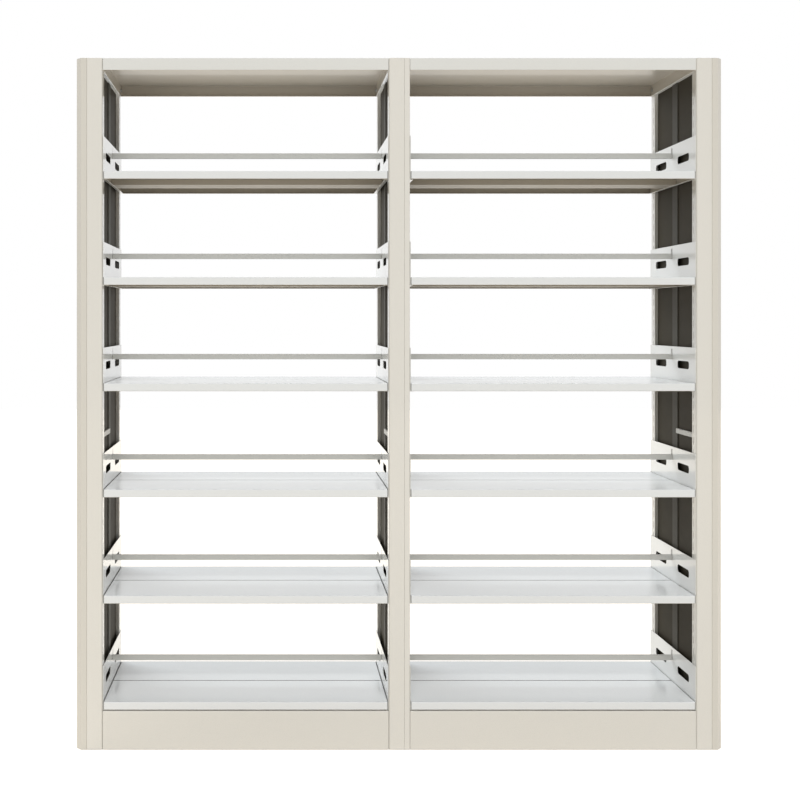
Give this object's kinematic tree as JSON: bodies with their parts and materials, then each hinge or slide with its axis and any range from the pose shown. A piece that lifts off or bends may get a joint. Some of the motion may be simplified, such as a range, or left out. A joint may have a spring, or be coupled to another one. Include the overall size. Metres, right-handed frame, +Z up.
{
  "type": "double sided library shelving",
  "caption": "Free-standing double sided steel library shelving with end panels, covers, kick plates and hook-on shelf levels that each have a middle divider bar.",
  "frame": {"origin": "middle of the footprint, on the floor", "axes": "+X along the shelving to the right as seen from the front, +Y to the rear, +Z up"},
  "size_m": [2.055, 0.45, 2.2],
  "materials": {
    "frame_paint": "warm light grey powder coat, semi gloss",
    "board_paint": "light grey powder coat, semi gloss",
    "bar_paint": "light grey powder coat, semi gloss",
    "dark_paint": "charcoal powder coat, satin",
    "strut_paint": "dark grey powder coat, satin",
    "zinc": "zinc plated",
    "foot_black": "moulded black"
  },
  "bodies": {
    "frame": {"posts_left": "frame_paint", "posts_middle": "frame_paint", "posts_right": "frame_paint", "joining_channels": "frame_paint", "infill_left": "dark_paint", "infill_middle": "dark_paint", "infill_right": "dark_paint", "centre_struts": "strut_paint", "side_ties": "bar_paint", "frame_rails": "frame_paint", "end_panel_left": "frame_paint", "end_panel_right": "frame_paint", "top_cover_left": "frame_paint", "top_cover_right": "frame_paint", "kick_plates_left": "frame_paint", "kick_plates_right": "frame_paint", "frame_bolts": "zinc", "foot_nut_plates": "zinc"},
    "screw_foot_left_front": {"foot_left_front": "foot_black"},
    "screw_foot_left_rear": {"foot_left_rear": "foot_black"},
    "screw_foot_middle_front": {"foot_middle_front": "foot_black"},
    "screw_foot_middle_rear": {"foot_middle_rear": "foot_black"},
    "screw_foot_right_front": {"foot_right_front": "foot_black"},
    "screw_foot_right_rear": {"foot_right_rear": "foot_black"},
    "level_left_1": {"boards_left_1": "board_paint", "hang_plates_left_1": "board_paint"},
    "level_left_2": {"boards_left_2": "board_paint", "hang_plates_left_2": "board_paint"},
    "level_left_3": {"boards_left_3": "board_paint", "hang_plates_left_3": "board_paint"},
    "level_left_4": {"boards_left_4": "board_paint", "hang_plates_left_4": "board_paint"},
    "level_left_5": {"boards_left_5": "board_paint", "hang_plates_left_5": "board_paint"},
    "level_left_6": {"boards_left_6": "board_paint", "hang_plates_left_6": "board_paint"},
    "level_right_1": {"boards_right_1": "board_paint", "hang_plates_right_1": "board_paint"},
    "level_right_2": {"boards_right_2": "board_paint", "hang_plates_right_2": "board_paint"},
    "level_right_3": {"boards_right_3": "board_paint", "hang_plates_right_3": "board_paint"},
    "level_right_4": {"boards_right_4": "board_paint", "hang_plates_right_4": "board_paint"},
    "level_right_5": {"boards_right_5": "board_paint", "hang_plates_right_5": "board_paint"},
    "level_right_6": {"boards_right_6": "board_paint", "hang_plates_right_6": "board_paint"},
    "bar_left_1": {"divider_bar_left_1": "bar_paint"},
    "bar_left_2": {"divider_bar_left_2": "bar_paint"},
    "bar_left_3": {"divider_bar_left_3": "bar_paint"},
    "bar_left_4": {"divider_bar_left_4": "bar_paint"},
    "bar_left_5": {"divider_bar_left_5": "bar_paint"},
    "bar_left_6": {"divider_bar_left_6": "bar_paint"},
    "bar_right_1": {"divider_bar_right_1": "bar_paint"},
    "bar_right_2": {"divider_bar_right_2": "bar_paint"},
    "bar_right_3": {"divider_bar_right_3": "bar_paint"},
    "bar_right_4": {"divider_bar_right_4": "bar_paint"},
    "bar_right_5": {"divider_bar_right_5": "bar_paint"},
    "bar_right_6": {"divider_bar_right_6": "bar_paint"}
  },
  "joints": [
    {"name": "screw_out_foot_left_front", "type": "slide", "parent": "frame", "child": "screw_foot_left_front", "axis": [0, 0, -1], "range_m": [0, 0.015]},
    {"name": "screw_out_foot_left_rear", "type": "slide", "parent": "frame", "child": "screw_foot_left_rear", "axis": [0, 0, -1], "range_m": [0, 0.015]},
    {"name": "screw_out_foot_middle_front", "type": "slide", "parent": "frame", "child": "screw_foot_middle_front", "axis": [0, 0, -1], "range_m": [0, 0.015]},
    {"name": "screw_out_foot_middle_rear", "type": "slide", "parent": "frame", "child": "screw_foot_middle_rear", "axis": [0, 0, -1], "range_m": [0, 0.015]},
    {"name": "screw_out_foot_right_front", "type": "slide", "parent": "frame", "child": "screw_foot_right_front", "axis": [0, 0, -1], "range_m": [0, 0.015]},
    {"name": "screw_out_foot_right_rear", "type": "slide", "parent": "frame", "child": "screw_foot_right_rear", "axis": [0, 0, -1], "range_m": [0, 0.015]},
    {"name": "unhook_level_left_1", "type": "slide", "parent": "frame", "child": "level_left_1", "axis": [0, 0, 1], "range_m": [0, 0.012]},
    {"name": "unhook_level_left_2", "type": "slide", "parent": "frame", "child": "level_left_2", "axis": [0, 0, 1], "range_m": [0, 0.012]},
    {"name": "unhook_level_left_3", "type": "slide", "parent": "frame", "child": "level_left_3", "axis": [0, 0, 1], "range_m": [0, 0.012]},
    {"name": "unhook_level_left_4", "type": "slide", "parent": "frame", "child": "level_left_4", "axis": [0, 0, 1], "range_m": [0, 0.012]},
    {"name": "unhook_level_left_5", "type": "slide", "parent": "frame", "child": "level_left_5", "axis": [0, 0, 1], "range_m": [0, 0.012]},
    {"name": "unhook_level_left_6", "type": "slide", "parent": "frame", "child": "level_left_6", "axis": [0, 0, 1], "range_m": [0, 0.012]},
    {"name": "unhook_level_right_1", "type": "slide", "parent": "frame", "child": "level_right_1", "axis": [0, 0, 1], "range_m": [0, 0.012]},
    {"name": "unhook_level_right_2", "type": "slide", "parent": "frame", "child": "level_right_2", "axis": [0, 0, 1], "range_m": [0, 0.012]},
    {"name": "unhook_level_right_3", "type": "slide", "parent": "frame", "child": "level_right_3", "axis": [0, 0, 1], "range_m": [0, 0.012]},
    {"name": "unhook_level_right_4", "type": "slide", "parent": "frame", "child": "level_right_4", "axis": [0, 0, 1], "range_m": [0, 0.012]},
    {"name": "unhook_level_right_5", "type": "slide", "parent": "frame", "child": "level_right_5", "axis": [0, 0, 1], "range_m": [0, 0.012]},
    {"name": "unhook_level_right_6", "type": "slide", "parent": "frame", "child": "level_right_6", "axis": [0, 0, 1], "range_m": [0, 0.012]},
    {"name": "lift_bar_left_1", "type": "slide", "parent": "level_left_1", "child": "bar_left_1", "axis": [0, 0, 1], "range_m": [0, 0.02]},
    {"name": "lift_bar_left_2", "type": "slide", "parent": "level_left_2", "child": "bar_left_2", "axis": [0, 0, 1], "range_m": [0, 0.02]},
    {"name": "lift_bar_left_3", "type": "slide", "parent": "level_left_3", "child": "bar_left_3", "axis": [0, 0, 1], "range_m": [0, 0.02]},
    {"name": "lift_bar_left_4", "type": "slide", "parent": "level_left_4", "child": "bar_left_4", "axis": [0, 0, 1], "range_m": [0, 0.02]},
    {"name": "lift_bar_left_5", "type": "slide", "parent": "level_left_5", "child": "bar_left_5", "axis": [0, 0, 1], "range_m": [0, 0.02]},
    {"name": "lift_bar_left_6", "type": "slide", "parent": "level_left_6", "child": "bar_left_6", "axis": [0, 0, 1], "range_m": [0, 0.02]},
    {"name": "lift_bar_right_1", "type": "slide", "parent": "level_right_1", "child": "bar_right_1", "axis": [0, 0, 1], "range_m": [0, 0.02]},
    {"name": "lift_bar_right_2", "type": "slide", "parent": "level_right_2", "child": "bar_right_2", "axis": [0, 0, 1], "range_m": [0, 0.02]},
    {"name": "lift_bar_right_3", "type": "slide", "parent": "level_right_3", "child": "bar_right_3", "axis": [0, 0, 1], "range_m": [0, 0.02]},
    {"name": "lift_bar_right_4", "type": "slide", "parent": "level_right_4", "child": "bar_right_4", "axis": [0, 0, 1], "range_m": [0, 0.02]},
    {"name": "lift_bar_right_5", "type": "slide", "parent": "level_right_5", "child": "bar_right_5", "axis": [0, 0, 1], "range_m": [0, 0.02]},
    {"name": "lift_bar_right_6", "type": "slide", "parent": "level_right_6", "child": "bar_right_6", "axis": [0, 0, 1], "range_m": [0, 0.02]}
  ]
}
